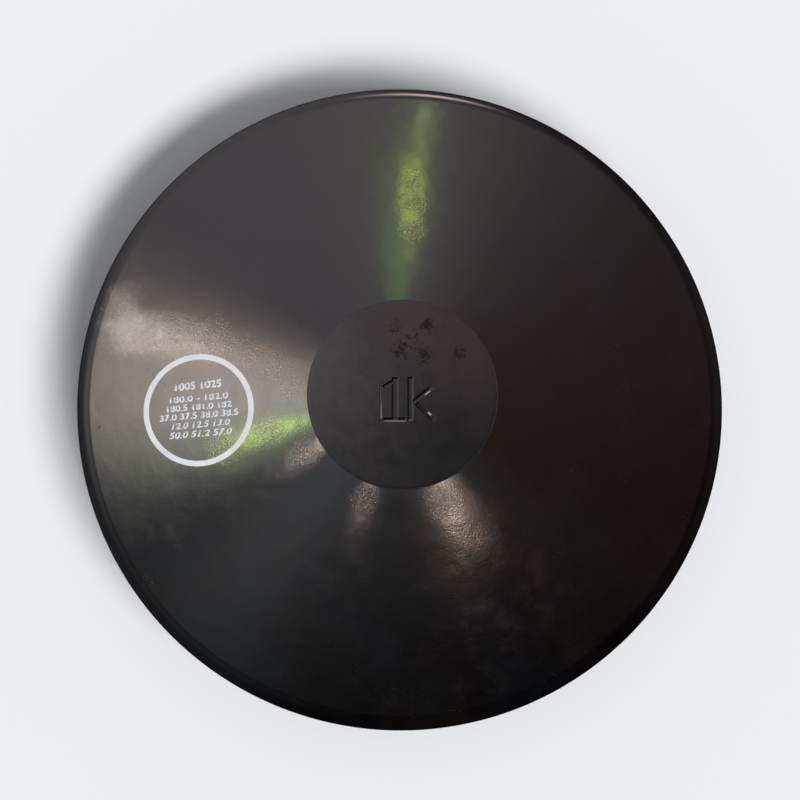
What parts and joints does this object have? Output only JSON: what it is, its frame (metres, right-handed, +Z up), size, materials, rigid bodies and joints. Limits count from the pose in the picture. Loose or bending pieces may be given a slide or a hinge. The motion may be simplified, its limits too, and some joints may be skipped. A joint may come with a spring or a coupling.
{
  "type": "discus",
  "caption": "Round throwing disc with a full-round rim, straight tapered faces and flat centres, moulded in rubber around a steel core.",
  "frame": {"origin": "centre of the lower face, on the plane that the discus rests on", "axes": "+Z up along the axis that the discus is turned about, from the resting face to the marked face; +Y towards the top of the weight mark"},
  "size_m": [0.181, 0.181, 0.038],
  "materials": {
    "black_rubber": "satin",
    "core_steel": "satin",
    "white_ink": "matte"
  },
  "bodies": {
    "root": {"upper_rubber_half": "black_rubber", "lower_rubber_half": "black_rubber", "steel_core": "core_steel"}
  },
  "joints": []
}
